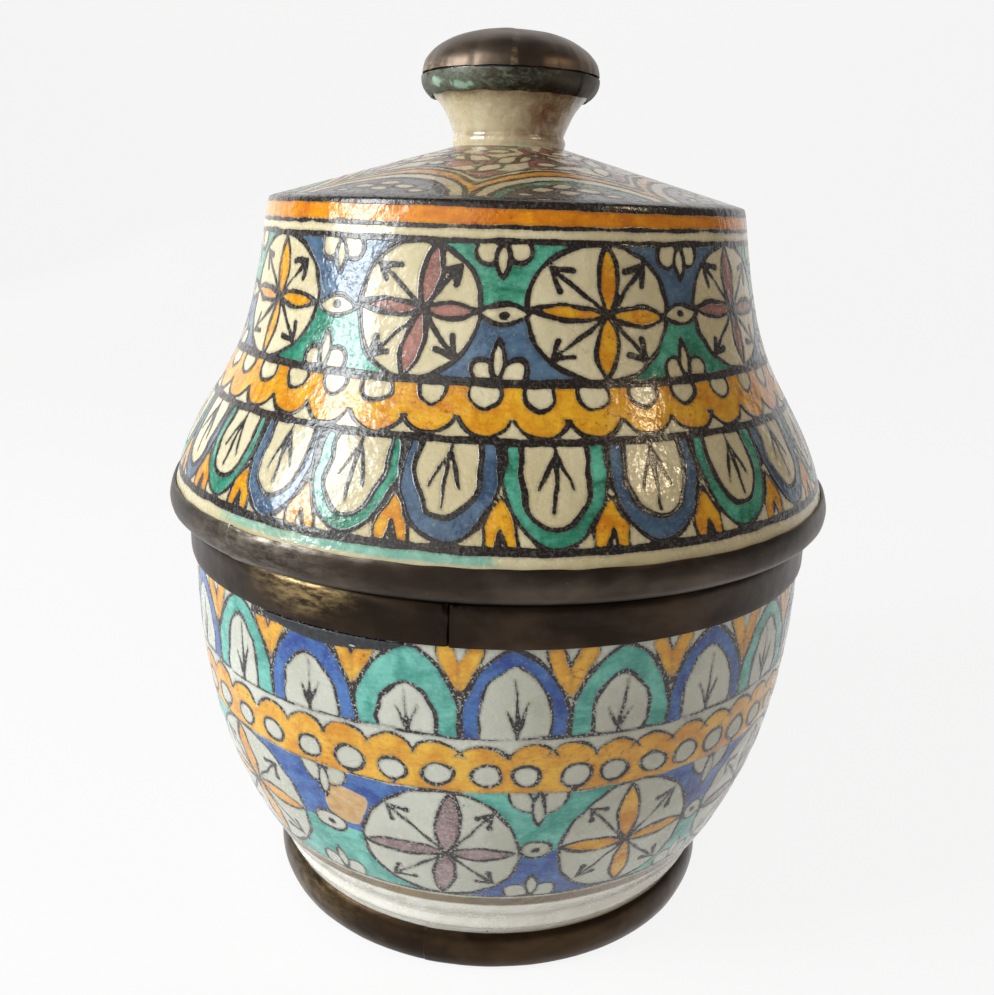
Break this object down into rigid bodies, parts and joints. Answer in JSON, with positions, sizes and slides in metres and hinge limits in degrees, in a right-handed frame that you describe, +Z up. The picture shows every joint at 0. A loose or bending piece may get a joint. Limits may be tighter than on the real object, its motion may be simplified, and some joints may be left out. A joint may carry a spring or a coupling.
{
  "type": "lidded butter jar",
  "caption": "Painted ceramic butter jar with a flared domed lid, knob handle and dark metal mounts; the lid lifts off.",
  "frame": {"origin": "centre of the base, on the surface that the jar stands on", "axes": "+Z up along the jar's axis, the front of the jar towards -Y, +X to the right of someone who looks at the front"},
  "size_m": [0.2174, 0.2174, 0.2814],
  "materials": {
    "jar_glaze": "glossy tin glaze with painted bands",
    "lid_glaze": "glossy tin glaze with painted bands",
    "dark_bronze": "dark patinated hammered sheet",
    "brassy_bronze": "worn patinated sheet",
    "verdigris": "green corroded sheet",
    "black_pitch": "dull black"
  },
  "bodies": {
    "jar": {"jar_body": "jar_glaze", "neck_collar": "dark_bronze", "collar_bedding": "black_pitch", "foot_ring": "brassy_bronze"},
    "lid": {"lid_body": "lid_glaze", "lid_edge_band": "dark_bronze", "knob_cap": "dark_bronze", "knob_band": "verdigris"}
  },
  "joints": [
    {"name": "lid_lift", "type": "slide", "parent": "jar", "child": "lid", "axis": [0, 0, 1], "range_m": [0, 0.14]}
  ]
}
